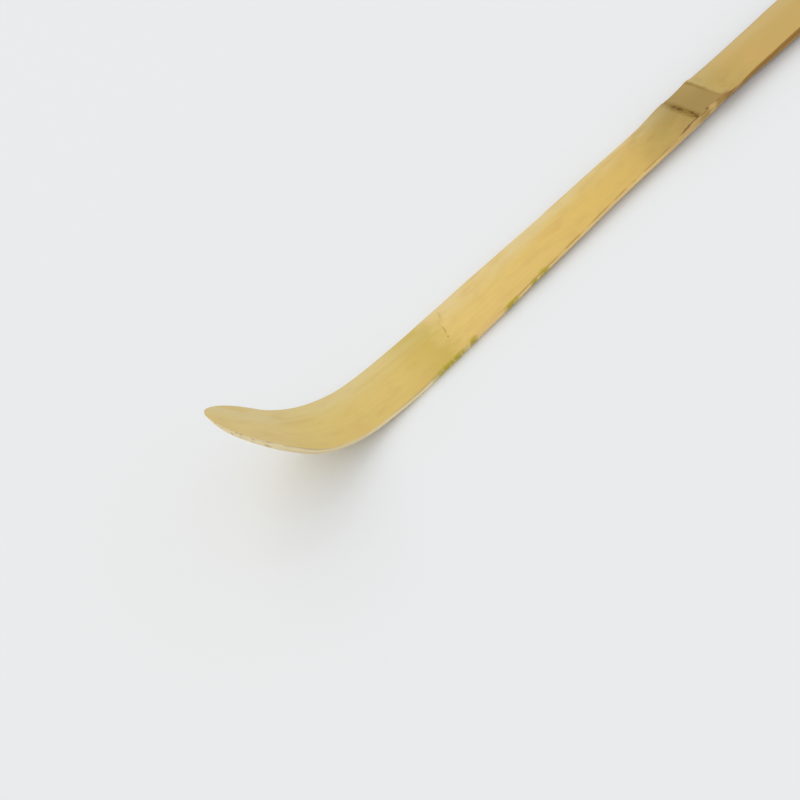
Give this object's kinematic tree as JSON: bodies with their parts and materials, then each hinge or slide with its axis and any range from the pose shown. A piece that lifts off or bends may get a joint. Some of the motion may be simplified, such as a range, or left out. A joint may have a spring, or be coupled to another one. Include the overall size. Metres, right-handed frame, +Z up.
{
  "type": "bamboo tea scoop",
  "caption": "Slender bamboo tea scoop: a heat-bent, rounded bowl, a flat stem with a node ridge, and a thicker square-cut handle. Scoops powdered tea.",
  "frame": {"origin": "on the floor plane under the middle of the scoop, which lies on its underside", "axes": "+X along the strip from the bowl's tip to the cut end of the handle, +Z up out of the skin side, Y across the strip"},
  "size_m": [0.1732, 0.0108, 0.0204],
  "materials": {
    "bamboo": "satin natural bamboo skin, with cut fibres on the sides and underside"
  },
  "bodies": {
    "root": {"bamboo_scoop": "bamboo"}
  },
  "joints": []
}
